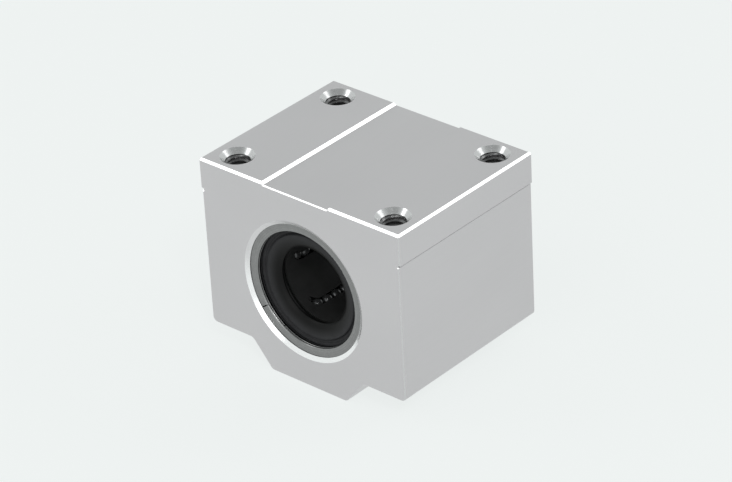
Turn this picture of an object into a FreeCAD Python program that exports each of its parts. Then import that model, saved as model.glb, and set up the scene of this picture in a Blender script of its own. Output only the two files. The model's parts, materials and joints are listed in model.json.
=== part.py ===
import FreeCAD, Part
import math
import os

# Linear ball bushing in a pillow block. Millimetres, +Z up.
# Origin: on the bore axis, half way along the block.
# +Y runs along the shaft, -Y is the front end. +Z is the side of the mounting face.

Vector = FreeCAD.Vector

# ---- Housing block ---------------------------------------------------------
block_width = 50.0
block_length = 39.0
bore_to_mount = 21.0
ear_depth = 36.4
block_height = 42.0
boss_bottom_width = 19.0
boss_root_width = 28.4
boss_corner_radius = 1.2
boss_root_radius = 1.5
ear_corner_radius = 1.2
datum_strip_depth = 6.6
datum_strip_step = 0.3
datum_groove_depth = 0.55
datum_groove_height = 0.35
channel_width = 17.0
channel_depth = 0.5
channel_offset = -0.6
top_side_chamfer = 0.4
top_end_chamfer = 0.42
end_edge_chamfer = 0.2
bore_chamfer_width = 0.85
bore_chamfer_depth = 0.55

# ---- Mounting holes: M5 thread at its major diameter, drilled through below -
bolt_spacing_across = 39.0
bolt_spacing_along = 29.0
thread_diameter = 5.0
thread_depth = 12.0
through_diameter = 4.3
hole_mouth_diameter = 7.0

# ---- Bushing ---------------------------------------------------------------
shaft_diameter = 16.0
ball_shaft_clearance = 0.01
bushing_diameter = 28.0
bushing_clearance = 0.02
bushing_end_play = 0.05
sleeve_chamfer = 0.4
outer_groove_spacing = 26.5
outer_groove_width = 1.6
outer_groove_depth = 0.5

# ---- Retaining rings in the housing bore: flat wire wound in two turns ------
ring_thickness = 1.0
ring_recess = 0.65
ring_groove_side_clearance = 0.1
ring_groove_depth = 0.7
ring_groove_clearance = 0.05
ring_radial_width = 2.45
ring_wire_end_gap = 0.25
ring_wire_end_angle = 214.0
ring_wire_end_overlap = 24.0
ring_seam_depth = 0.06
ring_edge_radius = 0.4

# ---- Balls and their circuits ----------------------------------------------
circuit_count = 5
first_row_angle = 245.5
ball_diameter = 2.381
ball_gap = 0.139
balls_per_turn = 3
land_clearance = 0.02
return_clearance = 0.10
track_clearance = 0.08
track_seam_turn = -90.0  # degrees, lays each tube's seam line on the side of its slot
land_root_overlap = 0.2
land_angle_before = 11.0
land_angle_after = 10.0

# ---- Ball cage -------------------------------------------------------------
cage_shaft_clearance = 0.22
cage_sleeve_clearance = 0.06
cage_land_clearance = 0.12
cage_land_side_angle = 1.0
cage_end_play = 0.1
cage_end_wall = 0.6

# ---- End seals -------------------------------------------------------------
seal_seat_depth = 2.64
seal_seat_step = 0.72
seal_seat_clearance = 0.03
seal_recess = 0.2
seal_lip_clearance = 0.02
seal_lip_width = 0.3
seal_lip_depth = 1.15
seal_throat_flare = 0.5
seal_crest_inset = 1.26
seal_crest_land = 0.4
seal_crest_taper = 0.2
seal_rim_drop = 0.2
seal_rim_groove_width = 0.75
seal_rim_groove_depth = 0.55
seal_rim_groove_taper = 0.15
seal_face_edge_step = 0.95
seal_face_drop = 0.5
case_thickness = 0.5
case_rim_height = 0.9
case_bore_clearance = 1.2

# ---- How far a cutting shape runs past the surface it opens ----------------
overrun = 1.0

# ---- Derived sizes ---------------------------------------------------------
half_length = block_length / 2.0
top_z = bore_to_mount
ear_z = bore_to_mount - ear_depth
boss_z = bore_to_mount - block_height
sleeve_radius = bushing_diameter / 2.0
bore_radius = sleeve_radius + bushing_clearance
ring_groove_width = ring_thickness + ring_groove_side_clearance
ring_groove_radius = bore_radius + ring_groove_depth
ring_outer_radius = ring_groove_radius - ring_groove_clearance
ring_inner_radius = ring_outer_radius - ring_radial_width
sleeve_half = half_length - ring_recess - ring_groove_width - bushing_end_play

ball_radius = ball_diameter / 2.0
ball_pitch = ball_diameter + ball_gap
loaded_radius = shaft_diameter / 2.0 + ball_shaft_clearance + ball_radius
turn_radius = balls_per_turn * ball_pitch / math.pi
return_radius = math.hypot(loaded_radius, 2.0 * turn_radius)
land_radius = loaded_radius + ball_radius + land_clearance
relief_radius = return_radius + ball_radius + return_clearance
track_radius = ball_radius + track_clearance

cage_half = sleeve_half - seal_seat_depth - cage_end_play
turn_reach = turn_radius + track_radius + cage_end_wall
balls_per_row = int(2.0 * (cage_half - turn_reach) / ball_pitch)
row_half = balls_per_row * ball_pitch / 2.0
cage_inner_radius = shaft_diameter / 2.0 + cage_shaft_clearance
cage_outer_radius = relief_radius - cage_sleeve_clearance
seat_radius = relief_radius + seal_seat_step
seal_outer_radius = seat_radius - seal_seat_clearance
lip_radius = shaft_diameter / 2.0 + seal_lip_clearance
seal_crest_radius = seal_outer_radius - seal_crest_inset


def cylinder(radius, y_start, y_end):
    """Solid cylinder on the bore axis."""
    return Part.makeCylinder(radius, y_end - y_start, Vector(0, y_start, 0), Vector(0, 1, 0))


def turned(profile):
    """Solid of revolution about the bore axis, from (radius, y) points in order."""
    points = [Vector(radius, y, 0) for radius, y in profile]
    face = Part.Face(Part.makePolygon(points + [points[0]]))
    return face.revolve(Vector(0, 0, 0), Vector(0, 1, 0), 360)


def rear_copy(shape):
    """The same piece at the rear end, turned half a turn about the vertical."""
    copy = shape.copy()
    copy.rotate(Vector(0, 0, 0), Vector(0, 0, 1), 180)
    return copy


def at_angle(shape, angle):
    """Turn a shape drawn at the top of the bore to an angle counted from +X towards +Z."""
    copy = shape.copy()
    copy.rotate(Vector(0, 0, 0), Vector(0, 1, 0), 90.0 - angle)
    return copy


def rounded_wire(corners):
    """Closed outline in the XZ plane from (x, z, corner radius) points in order."""
    edges = []
    starts = []
    ends = []
    middles = []
    count = len(corners)
    for index in range(count):
        x, z, radius = corners[index]
        corner = Vector(x, 0, z)
        before = Vector(corners[index - 1][0], 0, corners[index - 1][1])
        after = Vector(corners[(index + 1) % count][0], 0, corners[(index + 1) % count][1])
        back = (before - corner).normalize()
        forward = (after - corner).normalize()
        half_angle = back.getAngle(forward) / 2.0
        reach = radius / math.tan(half_angle)
        bisector = (back + forward).normalize()
        starts.append(corner + back * reach)
        ends.append(corner + forward * reach)
        middles.append(corner + bisector * (radius / math.sin(half_angle) - radius))
    for index in range(count):
        if corners[index][2] > 0:
            edges.append(Part.Arc(starts[index], middles[index], ends[index]).toShape())
        following = (index + 1) % count
        edges.append(Part.LineSegment(ends[index], starts[following]).toShape())
    return Part.Wire(edges)


def housing_outline():
    """Section of the extruded block, from the top left corner round by the right."""
    half = block_width / 2.0
    low_half = half - datum_strip_step
    strip_z = top_z - datum_strip_depth
    left = channel_offset - channel_width / 2.0
    right = channel_offset + channel_width / 2.0
    floor_z = top_z - channel_depth
    boss_half = boss_bottom_width / 2.0
    root_half = boss_root_width / 2.0
    return [
        (-half + top_side_chamfer, top_z, 0),
        (left, top_z, 0),
        (left + channel_depth, floor_z, 0),
        (right - channel_depth, floor_z, 0),
        (right, top_z, 0),
        (half - top_side_chamfer, top_z, 0),
        (half, top_z - top_side_chamfer, 0),
        (half, strip_z, 0),
        (half - datum_groove_depth, strip_z, 0),
        (half - datum_groove_depth, strip_z - datum_groove_height, 0),
        (low_half, strip_z - datum_groove_height, 0),
        (low_half, ear_z, ear_corner_radius),
        (root_half, ear_z, boss_root_radius),
        (boss_half, boss_z, boss_corner_radius),
        (-boss_half, boss_z, boss_corner_radius),
        (-root_half, ear_z, boss_root_radius),
        (-low_half, ear_z, ear_corner_radius),
        (-low_half, strip_z - datum_groove_height, 0),
        (-half + datum_groove_depth, strip_z - datum_groove_height, 0),
        (-half + datum_groove_depth, strip_z, 0),
        (-half, strip_z, 0),
        (-half, top_z - top_side_chamfer, 0),
    ]


def end_edges(shape):
    """Outer edges of the block's two end faces."""
    found = []
    for edge in shape.Edges:
        box = edge.BoundBox
        if box.YLength < 1e-6 and abs(abs(box.YMin) - half_length) < 1e-6:
            found.append(edge)
    return found


def top_end_cutter():
    """Wedge that takes the top front edge of the block off."""
    size = top_end_chamfer
    half = block_width
    points = [
        Vector(-half, -half_length - size, top_z),
        Vector(-half, -half_length - size, top_z - 2.0 * size),
        Vector(-half, -half_length + size, top_z),
        Vector(-half, -half_length + size, top_z + size),
        Vector(-half, -half_length - size, top_z + size),
    ]
    face = Part.Face(Part.makePolygon(points + [points[0]]))
    return face.extrude(Vector(2.0 * half, 0, 0))


def bore_cutter():
    """Bore with its mouth chamfers and its two retaining-ring grooves."""
    cutter = cylinder(bore_radius, -half_length - overrun, half_length + overrun)
    mouth = turned([
        (0, -half_length),
        (bore_radius + bore_chamfer_width, -half_length),
        (bore_radius, -half_length + bore_chamfer_depth),
        (0, -half_length + bore_chamfer_depth),
    ])
    groove_start = -half_length + ring_recess
    groove = cylinder(ring_groove_radius, groove_start, groove_start + ring_groove_width)
    return cutter.multiFuse([mouth, rear_copy(mouth), groove, rear_copy(groove)])


def bolt_hole_cutter(x, y):
    """One mounting hole: countersunk mouth, threaded length, drill right through the ear."""
    mouth_radius = hole_mouth_diameter / 2.0
    thread_radius = thread_diameter / 2.0
    mouth_depth = mouth_radius - thread_radius
    down = Vector(0, 0, -1)
    mouth = Part.makeCone(mouth_radius, thread_radius, mouth_depth, Vector(x, y, top_z), down)
    thread = Part.makeCylinder(thread_radius, thread_depth, Vector(x, y, top_z), down)
    drill = Part.makeCylinder(through_diameter / 2.0, ear_depth + overrun, Vector(x, y, top_z), down)
    return mouth.multiFuse([thread, drill])


def make_housing():
    section = Part.Face(rounded_wire(housing_outline()))
    section.translate(Vector(0, -half_length, 0))
    block = section.extrude(Vector(0, block_length, 0))
    block = block.makeChamfer(end_edge_chamfer, end_edges(block))
    cutters = [top_end_cutter(), rear_copy(top_end_cutter()), bore_cutter()]
    for side in (-1, 1):
        for end in (-1, 1):
            x = side * bolt_spacing_across / 2.0
            y = end * bolt_spacing_along / 2.0
            cutters.append(bolt_hole_cutter(x, y))
    return block.cut(cutters)


def make_snap_ring():
    """Front retaining ring: a two-turn spiral, closed all round, with one wire end on each side."""
    face_y = -half_length + ring_recess + ring_groove_side_clearance / 2.0
    back_y = face_y + ring_thickness
    seam_y = (face_y + back_y) / 2.0
    ring = cylinder(ring_outer_radius, face_y, back_y)
    ring = ring.cut(cylinder(ring_inner_radius, face_y, back_y))
    ring = ring.makeFillet(ring_edge_radius, round_edges(ring))
    seam = turned([
        (ring_inner_radius - ring_seam_depth, seam_y - ring_seam_depth * 2.0),
        (ring_inner_radius + ring_seam_depth, seam_y),
        (ring_inner_radius - ring_seam_depth, seam_y + ring_seam_depth * 2.0),
    ])
    slot_length = 2.0 * ring_radial_width
    low_z = ring_inner_radius - ring_radial_width / 2.0
    slots = []
    for start_y, angle in ((face_y - ring_thickness / 2.0, ring_wire_end_angle),
                           (seam_y, ring_wire_end_angle + ring_wire_end_overlap)):
        slot = Part.makeBox(ring_wire_end_gap, ring_thickness, slot_length,
                            Vector(-ring_wire_end_gap / 2.0, start_y, low_z))
        slots.append(at_angle(slot, angle))
    return ring.cut([seam] + slots)


def round_edges(shape):
    """Full-circle edges of a turned piece."""
    return [edge for edge in shape.Edges if isinstance(edge.Curve, Part.Circle)]


def land_sector(inner_radius, outer_radius, half_span, before, after):
    """Ring sector round a loaded row at the top of the bore, by angles each side of the row."""
    points = [Vector(inner_radius, -half_span, 0), Vector(outer_radius, -half_span, 0),
              Vector(outer_radius, half_span, 0), Vector(inner_radius, half_span, 0)]
    face = Part.Face(Part.makePolygon(points + [points[0]]))
    sector = face.revolve(Vector(0, 0, 0), Vector(0, 1, 0), before + after)
    sector.rotate(Vector(0, 0, 0), Vector(0, 1, 0), -90.0 - before)
    return sector


def row_angles():
    """Angles of the loaded rows round the bore."""
    return [first_row_angle + index * 360.0 / circuit_count for index in range(circuit_count)]


def make_sleeve():
    """Hardened outer sleeve: five load lands inside, ring grooves outside, seal seats at the ends."""
    shoulder = sleeve_half - seal_seat_depth
    body = turned([
        (relief_radius, -shoulder),
        (seat_radius, -shoulder),
        (seat_radius, -sleeve_half),
        (sleeve_radius - sleeve_chamfer, -sleeve_half),
        (sleeve_radius, -sleeve_half + sleeve_chamfer),
        (sleeve_radius, sleeve_half - sleeve_chamfer),
        (sleeve_radius - sleeve_chamfer, sleeve_half),
        (seat_radius, sleeve_half),
        (seat_radius, shoulder),
        (relief_radius, shoulder),
    ])
    sector = land_sector(land_radius, relief_radius + land_root_overlap, row_half,
                         land_angle_before, land_angle_after)
    body = body.multiFuse([at_angle(sector, angle) for angle in row_angles()])
    groove_end = -outer_groove_spacing / 2.0
    groove = turned([
        (sleeve_radius - outer_groove_depth, groove_end),
        (sleeve_radius + outer_groove_depth, groove_end),
        (sleeve_radius + outer_groove_depth, groove_end + outer_groove_width),
        (sleeve_radius - outer_groove_depth, groove_end + outer_groove_width),
    ])
    return body.cut([groove, rear_copy(groove)])


def stadium(half_width, low_z, high_z):
    """Upright slab with round ends, centred half way between the two rows of a circuit."""
    depth = high_z - low_z
    middle = Part.makeBox(2.0 * half_width, 2.0 * row_half, depth,
                          Vector(turn_radius - half_width, -row_half, low_z))
    ends = [Part.makeCylinder(half_width, depth, Vector(turn_radius, end * row_half, low_z))
            for end in (-1, 1)]
    return middle.multiFuse(ends)


def track_cutter():
    """Closed ball track of one circuit with its loaded row at the top, open to the outside."""
    axis = Vector(0, 1, 0)
    rows = []
    for x in (0.0, 2.0 * turn_radius):
        start = Vector(x, -row_half, loaded_radius)
        row = Part.makeCylinder(track_radius, 2.0 * row_half, start, axis)
        row.rotate(start, axis, track_seam_turn)
        rows.append(row)
    turns = []
    for end in (-1, 1):
        start = Vector(0, end * row_half, loaded_radius)
        circle = Part.makeCircle(track_radius, start, axis)
        circle.rotate(start, axis, track_seam_turn)
        disc = Part.Face(Part.Wire(circle))
        centre = Vector(turn_radius, end * row_half, loaded_radius)
        turns.append(disc.revolve(centre, Vector(0, 0, -end), 180))
    outer = stadium(turn_radius + track_radius, loaded_radius, 2.0 * relief_radius)
    inner = stadium(turn_radius - track_radius, loaded_radius - ball_radius, 2.0 * relief_radius + overrun)
    return outer.cut(inner).multiFuse(rows + turns)


def make_cage():
    """Moulded retainer that guides the balls of every circuit."""
    cage = cylinder(cage_outer_radius, -cage_half, cage_half)
    cage = cage.cut(cylinder(cage_inner_radius, -cage_half - overrun, cage_half + overrun))
    pocket = land_sector(land_radius - cage_land_clearance, 2.0 * relief_radius, cage_half + overrun,
                         land_angle_before + cage_land_side_angle,
                         land_angle_after + cage_land_side_angle)
    track = track_cutter()
    cage = cage.cut([at_angle(pocket, angle) for angle in row_angles()])
    return cage.cut([at_angle(track, angle) for angle in row_angles()])


def make_seal_case():
    """Front pressed steel case that stiffens the seal and closes the cage in."""
    back = -sleeve_half + seal_seat_depth
    front = back - case_thickness
    inner = lip_radius + case_bore_clearance
    wall_inner = seal_outer_radius - case_thickness
    return turned([
        (inner, back),
        (seal_outer_radius, back),
        (seal_outer_radius, front - case_rim_height),
        (wall_inner, front - case_rim_height),
        (wall_inner, front),
        (inner, front),
    ])


def make_end_seal():
    """Front rubber seal, moulded on its case: rim groove, dished face, wiping lip."""
    face = -sleeve_half + seal_recess
    back = -sleeve_half + seal_seat_depth
    case_front = back - case_thickness
    case_inner = lip_radius + case_bore_clearance
    wall_inner = seal_outer_radius - case_thickness
    rim_y = case_front - case_rim_height
    groove_outer = seal_crest_radius + seal_rim_groove_width
    groove_inner = seal_crest_radius + seal_crest_taper / 2.0
    crest_outer = seal_crest_radius - seal_crest_taper / 2.0
    face_edge = lip_radius + seal_face_edge_step
    lip_front = face + seal_lip_depth
    lip_back = lip_front + seal_lip_width
    return turned([
        (seal_outer_radius, face + seal_rim_drop),
        (groove_outer, face + seal_rim_drop),
        (groove_outer - seal_rim_groove_taper, face + seal_rim_groove_depth),
        (groove_inner, face + seal_rim_groove_depth),
        (crest_outer, face),
        (crest_outer - seal_crest_land, face),
        (face_edge, face + seal_face_drop),
        (lip_radius, lip_front),
        (lip_radius, lip_back),
        (lip_radius + seal_throat_flare, back),
        (case_inner, back),
        (case_inner, case_front),
        (wall_inner, case_front),
        (wall_inner, rim_y),
        (seal_outer_radius, rim_y),
    ])


def ball(centre):
    return Part.makeSphere(ball_radius, centre)


def row_balls(x):
    """Straight row of balls at x beside the row plane."""
    balls = []
    for index in range(balls_per_row):
        y = -row_half + (index + 0.5) * ball_pitch
        balls.append(ball(Vector(x, y, loaded_radius)))
    return Part.makeCompound(balls)


def turn_balls(end):
    """Balls of the half-round turn at one end: end is -1 at the front and 1 at the rear."""
    step = math.pi / balls_per_turn
    balls = []
    for index in range(balls_per_turn):
        angle = (index + 0.5) * step
        x = turn_radius - turn_radius * math.cos(angle)
        y = end * (row_half + turn_radius * math.sin(angle))
        balls.append(ball(Vector(x, y, loaded_radius)))
    return Part.makeCompound(balls)


def make_ball_groups():
    """Every circuit's loaded row, return row and two end turns, as named groups."""
    groups = {}
    for index, angle in enumerate(row_angles()):
        number = str(index + 1)
        groups["loaded_balls_" + number] = at_angle(row_balls(0.0), angle)
        groups["return_balls_" + number] = at_angle(row_balls(2.0 * turn_radius), angle)
        groups["front_turn_balls_" + number] = at_angle(turn_balls(-1), angle)
        groups["rear_turn_balls_" + number] = at_angle(turn_balls(1), angle)
    return groups


def make_parts():
    ring = make_snap_ring()
    case = make_seal_case()
    seal = make_end_seal()
    parts = {
        "housing": make_housing(),
        "outer_sleeve": make_sleeve(),
        "ball_cage": make_cage(),
        "snap_ring_front": ring,
        "snap_ring_rear": rear_copy(ring),
        "seal_case_front": case,
        "seal_case_rear": rear_copy(case),
        "end_seal_front": seal,
        "end_seal_rear": rear_copy(seal),
    }
    parts.update(make_ball_groups())
    return parts


os.makedirs("parts", exist_ok=True)
for node, shape in make_parts().items():
    shape.exportStep("parts/" + node + ".step")
    print(node, "solids", len(shape.Solids), "volume", round(shape.Volume, 3), "valid", shape.isValid())
print("balls per row", balls_per_row, "row half length", round(row_half, 3))
print("turn radius", round(turn_radius, 4), "pitch", round(ball_pitch, 4))
print("sleeve length", round(2.0 * sleeve_half, 3), "relief radius", round(relief_radius, 3))
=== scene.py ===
import json
import math

import bpy
from mathutils import Matrix, Vector


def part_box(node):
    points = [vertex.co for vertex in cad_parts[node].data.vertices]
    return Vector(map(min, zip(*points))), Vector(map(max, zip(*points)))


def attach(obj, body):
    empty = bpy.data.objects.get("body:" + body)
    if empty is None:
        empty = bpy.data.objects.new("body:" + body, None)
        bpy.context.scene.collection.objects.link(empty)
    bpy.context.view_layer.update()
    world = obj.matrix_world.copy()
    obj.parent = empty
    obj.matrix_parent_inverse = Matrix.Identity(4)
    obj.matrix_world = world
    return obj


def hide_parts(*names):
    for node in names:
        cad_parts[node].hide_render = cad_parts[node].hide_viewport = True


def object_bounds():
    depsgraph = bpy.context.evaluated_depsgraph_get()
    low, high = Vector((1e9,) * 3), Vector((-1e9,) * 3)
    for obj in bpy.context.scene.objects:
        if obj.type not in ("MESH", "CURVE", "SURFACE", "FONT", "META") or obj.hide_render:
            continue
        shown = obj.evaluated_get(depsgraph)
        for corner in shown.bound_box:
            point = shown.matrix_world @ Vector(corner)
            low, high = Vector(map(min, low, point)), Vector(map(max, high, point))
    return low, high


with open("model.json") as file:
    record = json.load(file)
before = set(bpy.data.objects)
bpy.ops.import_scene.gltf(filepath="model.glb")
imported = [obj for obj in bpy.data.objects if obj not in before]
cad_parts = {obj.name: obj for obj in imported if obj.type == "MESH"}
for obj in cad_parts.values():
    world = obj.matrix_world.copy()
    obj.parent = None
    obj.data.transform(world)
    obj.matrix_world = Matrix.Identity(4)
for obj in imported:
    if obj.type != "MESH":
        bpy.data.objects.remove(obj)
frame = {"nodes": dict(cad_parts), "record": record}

CAD_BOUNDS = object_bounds()
MM = 0.001
NODES = frame["nodes"]
MOUNTS = {mount["name"]: mount for mount in frame["record"]["mounts"]}

# ---- View -------------------------------------------------------------------
VIEW_AZIMUTH = 42.49
VIEW_ELEVATION = 30.49
VIEW_ROLL = 3.25
VIEW_DISTANCE = 681.9 * MM
VIEW_TARGET = Vector((-1.08, 0.21, 1.49)) * MM
VIEW_LENS = 173.84
SENSOR_WIDTH = 36.0

# ---- Studio -----------------------------------------------------------------
PALE = (0.846, 0.880, 0.871)
ZENITH_DIM = 0.42
DIM_FROM = 45.0
DIM_TO = 60.0
FLOOR_REACH = 3.0
FLOOR_GAP = 0.02 * MM
FLOOR_DIFFUSE = 0.13
FLOOR_ROUGHNESS = 0.9
FLOOR_GLOW = 0.885
CLIP_NEAR = 0.01
CLIP_FAR = 20.0
# Each light: name, azimuth, elevation, distance in metres, diameter in metres, brightness.
SOFTBOXES = (
    ("softbox_left", -49, 40, 1.3, 0.55, 1.35),
    ("softbox_back", 141, 36, 1.3, 0.55, 1.35),
    ("softbox_front", 14, 15, 1.2, 0.90, 1.15),
    ("key", 52, 44, 0.9, 0.16, 18.0),
)

# ---- Colours, linear --------------------------------------------------------
ANODISED = (0.575, 0.562, 0.572)
CUT_ALUMINIUM = (0.93, 0.93, 0.935)
# Painted shade: tone kept on the walls of the holes and on their countersinks.
HOLE_WALL_PAINTED_SHADE_TONE = 0.20
COUNTERSINK_PAINTED_SHADE_TONE = 0.66
# Painted shade: share of the bright cut colour kept on cut faces that face downwards.
PAINTED_SHADE_DOWNWARD_CUT = 0.30
RING_STEEL = (0.25, 0.25, 0.25)
SLEEVE_STEEL = (0.36, 0.36, 0.37)
CASE_STEEL = (0.20, 0.20, 0.205)
# Painted shade: the balls' steel is darkened to stand for the shade inside the bore.
BALL_STEEL_PAINTED_SHADE = (0.06, 0.06, 0.062)
LIP_RUBBER = (0.005, 0.005, 0.005)
RIM_RUBBER = (0.032, 0.032, 0.034)
BLACK_PLASTIC = (0.020, 0.020, 0.020)

# ---- Grain of each finish, in cycles per millimetre along X, Y and Z --------
DRAWN_LINES = (5.0, 0.14, 5.0)
SATIN_GRAIN = (14.0, 14.0, 14.0)
ANODISED_CLOUD = (0.035, 0.03, 0.05)
STEEL_MOTTLE = (1.1, 1.1, 1.1)
GREASE_FILM = (1.6, 1.6, 1.6)
PLASTIC_PEBBLE = (5.0, 5.0, 5.0)
PLASTIC_CLOUD = (0.5, 0.5, 0.5)
RUBBER_PEBBLE = (9.0, 9.0, 9.0)
RUBBER_CLOUD = (0.45, 0.45, 0.45)

# ---- Anodised aluminium: ranges of tone and roughness, bump in millimetres --
DRAWN_TONE = (-0.03, 0.03)
CLOUD_TONE = (0.96, 1.04)
CUT_TONE = (0.93, 1.05)
ALUMINIUM_METALLIC = 0.85
SATIN_ROUGHNESS = (0.34, 0.46)
DRAWN_ROUGHNESS = (-0.04, 0.04)
CUT_ROUGHNESS = (0.12, 0.22)
GRAIN_HEIGHT = 0.35
ANODISED_BUMP = 0.010

# ---- Turned and pressed steel -----------------------------------------------
TURNED_TONE = (0.80, 1.20)
MOTTLE_TONE = (-0.12, 0.12)
TURNED_ROUGHNESS = (-0.07, 0.07)
MOTTLE_ROUGHNESS = 0.04
TURNED_BUMP = 0.012

# ---- Ball steel under grease ------------------------------------------------
FILM_TONE = (0.7, 1.3)
FILM_ROUGHNESS = (0.03, 0.19)
BALL_METALLIC = 0.55

# ---- Cage plastic -----------------------------------------------------------
PLASTIC_TONE = (0.7, 1.3)
PLASTIC_ROUGHNESS = (0.36, 0.52)
PLASTIC_PEBBLE_ROUGHNESS = (-0.06, 0.06)
PLASTIC_SPECULAR = 0.30
PLASTIC_BUMP = 0.006

# ---- Seal rubber ------------------------------------------------------------
RUBBER_DUST = (0.55, 1.25)
RUBBER_ROUGHNESS = (0.38, 0.62)
RUBBER_PEBBLE_ROUGHNESS = (-0.05, 0.05)
RUBBER_SPECULAR = 0.12
RUBBER_BUMP = 0.008
LIP_BAND = 0.6
RIM_BAND = 1.2

# ---- Places on the housing, in millimetres ----------------------------------
HOUSING_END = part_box("housing")[1][1] / MM
HOLE_WALL_TOP = MOUNTS["mounting_holes"]["pos_m"][2] / MM
HOLE_END_MARGIN = 0.5
BORE_CHAMFER_OUTER_RADIUS = 15.3
BOSS_SLOPE_TOP = -13.0

# ---- How far a cut face has to lean off the axes to count as one ------------
CUT_LEAN_FROM = 0.975
CUT_LEAN_TO = 0.995
CONE_LEAN = 0.04
ALONG_BLOCK_LEAN = 0.1
# Painted shade: how far upwards a cut face must face to keep its full bright colour.
PAINTED_SHADE_FROM = -0.20
PAINTED_SHADE_TO = 0.15

# ---- Threads: M5 in the mounting holes --------------------------------------
THREAD_PITCH = 0.8 * MM
THREAD_TOP = 0.25 * MM
THREAD_LENGTH = 10.4 * MM
THREAD_CREST_RADIUS = 2.13 * MM
THREAD_ROOT_OVERLAP = 0.02 * MM
THREAD_CREST_WIDTH = 0.12 * MM
THREAD_ROOT_WIDTH = 0.66 * MM
THREAD_STEPS_PER_TURN = 36
THREAD_RUN_OUT_TURNS = 0.6
THREAD_LEAST_FULLNESS = 0.02

# ---- End seals: radius and depth behind the seal's front, in millimetres ----
SEAL_SEGMENTS = 192
SEAL_CORNER_STEPS = 5
SEAL_CASE_INNER_STEP = 1.2
SEAL_CASE_DEPTH = 1.94
SEAL_CASE_THICKNESS = 0.5
SEAL_CASE_RIM_DEPTH = 1.04
SHARP_EDGE = math.radians(38.0)


def direction(azimuth, elevation):
    """Unit vector from the part towards a viewer: azimuth 0 is the front, 90 the right side."""
    across = math.cos(math.radians(elevation))
    return Vector((math.sin(math.radians(azimuth)) * across,
                   -math.cos(math.radians(azimuth)) * across,
                   math.sin(math.radians(elevation))))


# ---- Camera, lights and floor -----------------------------------------------
def add_camera():
    camera = bpy.data.objects.new("camera", bpy.data.cameras.new("camera"))
    camera.data.lens = VIEW_LENS
    camera.data.sensor_width = SENSOR_WIDTH
    camera.data.clip_start = CLIP_NEAR
    camera.data.clip_end = CLIP_FAR
    towards = direction(VIEW_AZIMUTH, VIEW_ELEVATION)
    turn = towards.to_track_quat("Z", "Y").to_matrix()
    turn = turn @ Matrix.Rotation(math.radians(-VIEW_ROLL), 3, "Z")
    camera.matrix_world = Matrix.Translation(VIEW_TARGET + towards * VIEW_DISTANCE) @ turn.to_4x4()
    bpy.context.scene.collection.objects.link(camera)
    bpy.context.scene.camera = camera


def add_softbox(name, azimuth, elevation, distance, size, brightness):
    """Round softbox facing the part; brightness is its radiance against the background's 1."""
    light = bpy.data.lights.new(name, "AREA")
    light.shape = "DISK"
    light.size = size
    light.energy = brightness * math.pi * math.pi * size * size / 4.0
    holder = bpy.data.objects.new(name, light)
    place = direction(azimuth, elevation)
    turn = place.to_track_quat("Z", "Y").to_matrix().to_4x4()
    holder.matrix_world = Matrix.Translation(place * distance) @ turn
    bpy.context.scene.collection.objects.link(holder)


def add_world():
    """Pale studio all round, falling off to a dim ceiling overhead."""
    world = bpy.data.worlds.new("studio")
    world.use_nodes = True
    tree = world.node_tree
    background = tree.nodes["Background"]
    height = tree.nodes.new("ShaderNodeSeparateXYZ")
    tree.links.new(tree.nodes.new("ShaderNodeTexCoord").outputs["Generated"], height.inputs[0])
    ceiling = ramp(tree, height.outputs["Z"],
                   math.sin(math.radians(DIM_FROM)), math.sin(math.radians(DIM_TO)))
    dim = tuple(ZENITH_DIM * channel for channel in PALE)
    tree.links.new(mix(tree, ceiling, PALE, dim), background.inputs["Color"])
    bpy.context.scene.world = world


def add_floor():
    """Pale floor, seen from above only, so that the underside can be looked at too."""
    mesh = bpy.data.meshes.new("floor")
    z = CAD_BOUNDS[0][2] - FLOOR_GAP
    corners = [(x, y, z) for x, y in ((-1, -1), (1, -1), (1, 1), (-1, 1))]
    mesh.from_pydata([(x * FLOOR_REACH, y * FLOOR_REACH, z) for x, y, z in corners], [], [(0, 1, 2, 3)])
    floor = bpy.data.objects.new("floor", mesh)
    bpy.context.scene.collection.objects.link(floor)
    material, tree, shader = new_material("floor")
    shader.inputs["Base Color"].default_value = (FLOOR_DIFFUSE, FLOOR_DIFFUSE, FLOOR_DIFFUSE, 1)
    shader.inputs["Roughness"].default_value = FLOOR_ROUGHNESS
    shader.inputs["Specular IOR Level"].default_value = 0.0
    shader.inputs["Emission Color"].default_value = (*PALE, 1)
    shader.inputs["Emission Strength"].default_value = FLOOR_GLOW
    clear = tree.nodes.new("ShaderNodeBsdfTransparent")
    one_sided = tree.nodes.new("ShaderNodeMixShader")
    tree.links.new(tree.nodes.new("ShaderNodeNewGeometry").outputs["Backfacing"], one_sided.inputs[0])
    tree.links.new(shader.outputs[0], one_sided.inputs[1])
    tree.links.new(clear.outputs[0], one_sided.inputs[2])
    tree.links.new(one_sided.outputs[0], tree.nodes["Material Output"].inputs["Surface"])
    mesh.materials.append(material)


# ---- Shader building --------------------------------------------------------
def new_material(name):
    material = bpy.data.materials.new(name)
    material.use_nodes = True
    return material, material.node_tree, material.node_tree.nodes["Principled BSDF"]


def feed(tree, socket, value):
    """Link a socket, or set its plain value."""
    if isinstance(value, bpy.types.NodeSocket):
        tree.links.new(value, socket)
    elif isinstance(value, tuple) and socket.type == "RGBA":
        socket.default_value = (*value, 1)
    else:
        socket.default_value = value


def calc(tree, operation, *values):
    node = tree.nodes.new("ShaderNodeMath")
    node.operation = operation
    for socket, value in zip(node.inputs, values):
        feed(tree, socket, value)
    return node.outputs[0]


def ramp(tree, value, low, high):
    """0 below low, 1 above high, smooth between."""
    node = tree.nodes.new("ShaderNodeMapRange")
    node.interpolation_type = "SMOOTHSTEP"
    feed(tree, node.inputs["Value"], value)
    node.inputs["From Min"].default_value = low
    node.inputs["From Max"].default_value = high
    return node.outputs["Result"]


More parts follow.
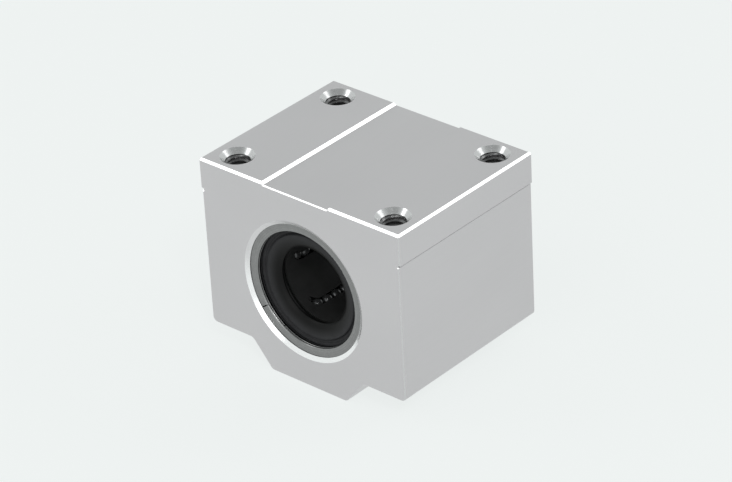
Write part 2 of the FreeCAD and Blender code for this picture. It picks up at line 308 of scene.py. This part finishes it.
def between(tree, value, low, high):
    """A 0 to 1 value stretched to run from low to high."""
    node = tree.nodes.new("ShaderNodeMapRange")
    feed(tree, node.inputs["Value"], value)
    node.inputs["To Min"].default_value = low
    node.inputs["To Max"].default_value = high
    return node.outputs["Result"]


def mix(tree, factor, first, second):
    node = tree.nodes.new("ShaderNodeMix")
    node.data_type = "RGBA"
    feed(tree, node.inputs[0], factor)
    feed(tree, node.inputs[6], first)
    feed(tree, node.inputs[7], second)
    return node.outputs[2]


def shaded(tree, colour, value):
    """Colour made lighter or darker by a value near 1."""
    node = tree.nodes.new("ShaderNodeVectorMath")
    node.operation = "SCALE"
    feed(tree, node.inputs[0], colour)
    feed(tree, node.inputs["Scale"], value)
    return node.outputs[0]


def part_axes(tree):
    """Place on the part, in millimetres: the vector and its three parts."""
    place = tree.nodes.new("ShaderNodeVectorMath")
    place.operation = "SCALE"
    tree.links.new(tree.nodes.new("ShaderNodeTexCoord").outputs["Object"], place.inputs[0])
    place.inputs["Scale"].default_value = 1.0 / MM
    parts = tree.nodes.new("ShaderNodeSeparateXYZ")
    tree.links.new(place.outputs[0], parts.inputs[0])
    return place.outputs[0], parts.outputs


def facing(tree):
    """How far the surface faces each axis, without sign, and its upward part."""
    parts = tree.nodes.new("ShaderNodeSeparateXYZ")
    tree.links.new(tree.nodes.new("ShaderNodeTexCoord").outputs["Normal"], parts.inputs[0])
    return [calc(tree, "ABSOLUTE", out) for out in parts.outputs], parts.outputs["Z"]


def noise(tree, place, stretch, detail=2.0):
    """Noise from 0 to 1 whose grain is 1 / stretch millimetres along each axis."""
    scaled = tree.nodes.new("ShaderNodeVectorMath")
    scaled.operation = "MULTIPLY"
    tree.links.new(place, scaled.inputs[0])
    scaled.inputs[1].default_value = stretch
    node = tree.nodes.new("ShaderNodeTexNoise")
    node.inputs["Scale"].default_value = 1.0
    node.inputs["Detail"].default_value = detail
    tree.links.new(scaled.outputs[0], node.inputs["Vector"])
    return node.outputs["Fac"]


def turned_lines(tree, distance, per_mm):
    """Random fine lines that follow one distance only, as a lathe leaves them."""
    node = tree.nodes.new("ShaderNodeTexNoise")
    node.noise_dimensions = "1D"
    node.inputs["Scale"].default_value = 1.0
    node.inputs["Detail"].default_value = 3.0
    feed(tree, node.inputs["W"], calc(tree, "MULTIPLY", distance, per_mm))
    return node.outputs["Fac"]


def bump(tree, shader, height, depth):
    """Bump of the given depth in millimetres."""
    node = tree.nodes.new("ShaderNodeBump")
    node.inputs["Distance"].default_value = depth * MM
    tree.links.new(height, node.inputs["Height"])
    tree.links.new(node.outputs[0], shader.inputs["Normal"])


def radius_from_axis(tree, parts):
    squares = [calc(tree, "MULTIPLY", parts[axis], parts[axis]) for axis in ("X", "Z")]
    return calc(tree, "SQRT", calc(tree, "ADD", *squares))


# ---- Materials --------------------------------------------------------------
def anodised_aluminium():
    """Satin anodised extrusion, with its chamfers, bore and holes cut bright; painted shade darkens the
    hole walls, the countersinks and the cut faces that face downwards.
    """
    material, tree, shader = new_material("satin_anodised_aluminium")
    place, parts = part_axes(tree)
    (side, end, flat), up = facing(tree)
    squareness = calc(tree, "MAXIMUM", calc(tree, "MAXIMUM", side, end), flat)
    slanted = calc(tree, "SUBTRACT", 1.0, ramp(tree, squareness, CUT_LEAN_FROM, CUT_LEAN_TO))
    boss = calc(tree, "MULTIPLY", calc(tree, "LESS_THAN", parts["Z"], BOSS_SLOPE_TOP),
                calc(tree, "LESS_THAN", end, ALONG_BLOCK_LEAN))
    outside = calc(tree, "GREATER_THAN", radius_from_axis(tree, parts), BORE_CHAMFER_OUTER_RADIUS)
    cut = calc(tree, "MULTIPLY", slanted,
               calc(tree, "SUBTRACT", 1.0, calc(tree, "MULTIPLY", boss, outside)))
    # Painted shade: cut faces that face downwards keep less of their bright colour.
    lit = ramp(tree, up, PAINTED_SHADE_FROM, PAINTED_SHADE_TO)
    cut = calc(tree, "MULTIPLY", cut, between(tree, lit, PAINTED_SHADE_DOWNWARD_CUT, 1.0))
    drawn = noise(tree, place, DRAWN_LINES, 3.0)
    grain = noise(tree, place, SATIN_GRAIN)
    cloud = noise(tree, place, ANODISED_CLOUD, 1.0)
    tone = calc(tree, "ADD", between(tree, drawn, *DRAWN_TONE), between(tree, cloud, *CLOUD_TONE))
    anodised = shaded(tree, ANODISED, tone)
    from_middle = calc(tree, "ABSOLUTE", parts["Y"])
    # Painted shade: the walls of the holes and their countersinks are darkened.
    bored = calc(tree, "MULTIPLY", calc(tree, "LESS_THAN", parts["Z"], HOLE_WALL_TOP),
                 calc(tree, "LESS_THAN", from_middle, HOUSING_END - HOLE_END_MARGIN))
    painted_hole_shade = calc(tree, "MULTIPLY", calc(tree, "MULTIPLY", bored, outside), 1.0 - HOLE_WALL_PAINTED_SHADE_TONE)
    leaning = [calc(tree, "GREATER_THAN", lean, CONE_LEAN) for lean in (side, end)]
    coned = calc(tree, "MULTIPLY", calc(tree, "MULTIPLY", *leaning), outside)
    painted_hole_shade = calc(tree, "MAXIMUM", painted_hole_shade, calc(tree, "MULTIPLY", coned, 1.0 - COUNTERSINK_PAINTED_SHADE_TONE))
    bright = shaded(tree, CUT_ALUMINIUM,
                    calc(tree, "SUBTRACT", between(tree, grain, *CUT_TONE), painted_hole_shade))
    feed(tree, shader.inputs["Base Color"], mix(tree, cut, anodised, bright))
    shader.inputs["Metallic"].default_value = ALUMINIUM_METALLIC
    satin = calc(tree, "ADD", between(tree, grain, *SATIN_ROUGHNESS),
                 between(tree, drawn, *DRAWN_ROUGHNESS))
    cut_gloss = between(tree, grain, *CUT_ROUGHNESS)
    difference = calc(tree, "MULTIPLY", cut, calc(tree, "SUBTRACT", cut_gloss, satin))
    feed(tree, shader.inputs["Roughness"], calc(tree, "ADD", satin, difference))
    height = calc(tree, "ADD", drawn, calc(tree, "MULTIPLY", grain, GRAIN_HEIGHT))
    bump(tree, shader, height, ANODISED_BUMP)
    return material


def turned_steel(name, colour, roughness, lines_per_mm, across_face):
    """Ground or pressed steel with fine lines round the axis."""
    material, tree, shader = new_material(name)
    place, parts = part_axes(tree)
    distance = radius_from_axis(tree, parts) if across_face else parts["Y"]
    lines = turned_lines(tree, distance, lines_per_mm)
    mottle = noise(tree, place, STEEL_MOTTLE, 3.0)
    tone = calc(tree, "ADD", between(tree, lines, *TURNED_TONE), between(tree, mottle, *MOTTLE_TONE))
    feed(tree, shader.inputs["Base Color"], shaded(tree, colour, tone))
    shader.inputs["Metallic"].default_value = 1.0
    uneven = between(tree, mottle, roughness - MOTTLE_ROUGHNESS, roughness + MOTTLE_ROUGHNESS)
    feed(tree, shader.inputs["Roughness"],
         calc(tree, "ADD", between(tree, lines, *TURNED_ROUGHNESS), uneven))
    bump(tree, shader, lines, TURNED_BUMP)
    return material


def polished_balls():
    """Polished bearing balls under a thin, uneven film of grease; their dark base colour is painted
    shade for the inside of the bore.
    """
    material, tree, shader = new_material("polished_ball_steel")
    place, parts = part_axes(tree)
    film = noise(tree, place, GREASE_FILM, 3.0)
    feed(tree, shader.inputs["Base Color"], shaded(tree, BALL_STEEL_PAINTED_SHADE, between(tree, film, *FILM_TONE)))
    shader.inputs["Metallic"].default_value = BALL_METALLIC
    feed(tree, shader.inputs["Roughness"], between(tree, film, *FILM_ROUGHNESS))
    return material


def cage_plastic():
    """Moulded black plastic: fine pebbling and an uneven sheen."""
    material, tree, shader = new_material("black_cage_plastic")
    place, parts = part_axes(tree)
    pebble = noise(tree, place, PLASTIC_PEBBLE)
    cloud = noise(tree, place, PLASTIC_CLOUD, 3.0)
    feed(tree, shader.inputs["Base Color"],
         shaded(tree, BLACK_PLASTIC, between(tree, cloud, *PLASTIC_TONE)))
    feed(tree, shader.inputs["Roughness"],
         calc(tree, "ADD", between(tree, pebble, *PLASTIC_PEBBLE_ROUGHNESS),
              between(tree, cloud, *PLASTIC_ROUGHNESS)))
    shader.inputs["Specular IOR Level"].default_value = PLASTIC_SPECULAR
    bump(tree, shader, pebble, PLASTIC_BUMP)
    return material


def nitrile_rubber(lip_radius, rim_radius):
    """Moulded black rubber: darker at the lip, lighter and slightly dusty towards the rim."""
    material, tree, shader = new_material("black_nitrile")
    place, parts = part_axes(tree)
    pebble = noise(tree, place, RUBBER_PEBBLE)
    cloud = noise(tree, place, RUBBER_CLOUD, 3.0)
    outward = ramp(tree, radius_from_axis(tree, parts),
                   lip_radius + LIP_BAND, rim_radius - RIM_BAND)
    rimward_tone = calc(tree, "MULTIPLY", outward, between(tree, cloud, *RUBBER_DUST))
    feed(tree, shader.inputs["Base Color"], mix(tree, rimward_tone, LIP_RUBBER, RIM_RUBBER))
    feed(tree, shader.inputs["Roughness"],
         calc(tree, "ADD", between(tree, pebble, *RUBBER_PEBBLE_ROUGHNESS),
              between(tree, rimward_tone, *RUBBER_ROUGHNESS)))
    shader.inputs["Specular IOR Level"].default_value = RUBBER_SPECULAR
    bump(tree, shader, pebble, RUBBER_BUMP)
    return material


def dress(node, material):
    for slot in NODES[node].material_slots:
        slot.material = material


# ---- Meshes -----------------------------------------------------------------
def new_piece(name, vertices, faces, material, body):
    mesh = bpy.data.meshes.new(name)
    mesh.from_pydata(vertices, [], faces)
    mesh.validate()
    mesh.polygons.foreach_set("use_smooth", [True] * len(mesh.polygons))
    mesh.materials.append(material)
    mesh.set_sharp_from_angle(angle=SHARP_EDGE)
    piece = bpy.data.objects.new(name, mesh)
    bpy.context.scene.collection.objects.link(piece)
    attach(piece, body)
    return piece


def ring_strip(count, width, closed):
    """Quads joining rows of the same width, one row after another, and the caps of an open run."""
    faces = []
    for row in range(count if closed else count - 1):
        following = (row + 1) % count
        for column in range(width):
            beside = (column + 1) % width
            faces.append((row * width + column, row * width + beside,
                          following * width + beside, following * width + column))
    if not closed:
        faces.append(tuple(reversed(range(width))))
        faces.append(tuple((count - 1) * width + column for column in range(width)))
    return faces


def add_thread(name, x, y, mouth_z, wall_radius, material):
    """Helical ridge of an inside thread, running out smoothly at both ends."""
    turns = THREAD_LENGTH / THREAD_PITCH
    count = int(turns * THREAD_STEPS_PER_TURN) + 1
    root = wall_radius + THREAD_ROOT_OVERLAP
    vertices = []
    for step in range(count):
        turn = step / THREAD_STEPS_PER_TURN
        to_end = min(turn, turns - turn) / THREAD_RUN_OUT_TURNS
        fullness = min(1.0, max(THREAD_LEAST_FULLNESS, to_end))
        crest = root - (root - THREAD_CREST_RADIUS) * fullness
        angle = 2.0 * math.pi * turn
        z = mouth_z - THREAD_TOP - turn * THREAD_PITCH
        for radius, offset in ((root, THREAD_ROOT_WIDTH / 2.0), (crest, THREAD_CREST_WIDTH / 2.0),
                               (crest, -THREAD_CREST_WIDTH / 2.0), (root, -THREAD_ROOT_WIDTH / 2.0)):
            vertices.append((x + radius * math.cos(angle), y + radius * math.sin(angle), z + offset))
    new_piece(name, vertices, ring_strip(count, 4, False), material, "block")


def softened(points):
    """Outline with its corners rounded: each point is (radius, depth, rounding)."""
    outline = []
    count = len(points)
    for index, (radius, depth, rounding) in enumerate(points):
        corner = Vector((radius, depth))
        if rounding == 0.0:
            outline.append(corner)
            continue
        before = Vector(points[index - 1][:2])
        after = Vector(points[(index + 1) % count][:2])
        start = corner + (before - corner).normalized() * rounding
        finish = corner + (after - corner).normalized() * rounding
        for step in range(SEAL_CORNER_STEPS + 1):
            t = step / SEAL_CORNER_STEPS
            outline.append(start * (1 - t) ** 2 + corner * 2 * t * (1 - t) + finish * t ** 2)
    return outline


def add_seal(end, material):
    """Rubber seal with its soft crest, dished face and wiping lip, moulded round its case."""
    node = "end_seal_" + end
    low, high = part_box(node)
    outer = (high[0] - low[0]) / 2.0 / MM
    lip = MOUNTS["shaft_bore"]["dims"]["r_mm"]
    front = low[1] if end == "front" else high[1]
    inwards = 1.0 if end == "front" else -1.0
    back_depth = (high[1] - low[1]) / MM
    case_inner = lip + SEAL_CASE_INNER_STEP
    case_wall = outer - SEAL_CASE_THICKNESS
    points = [
        # Rim, and the groove that sets it off.
        (outer, 0.20, 0.08),
        (outer - 0.50, 0.20, 0.10),
        (outer - 0.68, 0.56, 0.14),
        (outer - 1.14, 0.56, 0.14),
        # Crest, and the dished face down to the lip.
        (outer - 1.38, 0.02, 0.20),
        (outer - 1.90, 0.03, 0.20),
        (lip + 1.20, 0.34, 0.50),
        (lip + 0.42, 0.74, 0.30),
        # Lip that wipes the shaft, and the back behind it.
        (lip, 1.16, 0.04),
        (lip, 1.44, 0.05),
        (lip + 0.50, back_depth, 0.10),
        (case_inner, back_depth, 0.0),
        # Seat of the steel case, and back up to the rim.
        (case_inner, SEAL_CASE_DEPTH, 0.0),
        (case_wall, SEAL_CASE_DEPTH, 0.0),
        (case_wall, SEAL_CASE_RIM_DEPTH, 0.0),
        (outer, SEAL_CASE_RIM_DEPTH, 0.0),
    ]
    outline = softened(points)
    vertices = []
    for step in range(SEAL_SEGMENTS):
        angle = -inwards * 2.0 * math.pi * step / SEAL_SEGMENTS
        for radius, depth in outline:
            vertices.append((radius * MM * math.cos(angle), front + inwards * depth * MM,
                             radius * MM * math.sin(angle)))
    faces = ring_strip(SEAL_SEGMENTS, len(outline), True)
    piece = new_piece("seal_skin_" + end, vertices, faces, material, "bushing")
    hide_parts(node)


# ---- The scene --------------------------------------------------------------
add_camera()
add_world()
add_floor()
for softbox in SOFTBOXES:
    add_softbox(*softbox)

aluminium = anodised_aluminium()
ring_steel = turned_steel("ground_spring_steel", RING_STEEL,
                          roughness=0.24, lines_per_mm=3.0, across_face=True)
sleeve_steel = turned_steel("ground_sleeve_steel", SLEEVE_STEEL,
                            roughness=0.22, lines_per_mm=9.0, across_face=False)
case_steel = turned_steel("pressed_case_steel", CASE_STEEL,
                          roughness=0.34, lines_per_mm=4.0, across_face=True)
rubber = nitrile_rubber(MOUNTS["shaft_bore"]["dims"]["r_mm"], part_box("end_seal_front")[1][0] / MM)
plastic = cage_plastic()
ball_steel = polished_balls()
FINISHES = {"housing": aluminium, "snap_ring": ring_steel, "outer_sleeve": sleeve_steel,
            "seal_case": case_steel, "end_seal": rubber, "ball_cage": plastic}
for node in NODES:
    finish = [material for start, material in FINISHES.items() if node.startswith(start)]
    dress(node, finish[0] if finish else ball_steel)

holes = MOUNTS["mounting_holes"]
number = 0
for side in (-1, 1):
    for end in (-1, 1):
        number += 1
        add_thread("thread_" + str(number), side * holes["dims"]["spacing_x_mm"] * MM / 2.0,
                   end * holes["dims"]["spacing_y_mm"] * MM / 2.0, holes["pos_m"][2],
                   holes["dims"]["hole_r_mm"] * MM, aluminium)
for end in ("front", "rear"):
    add_seal(end, rubber)

bpy.context.scene.view_settings.view_transform = "Standard"
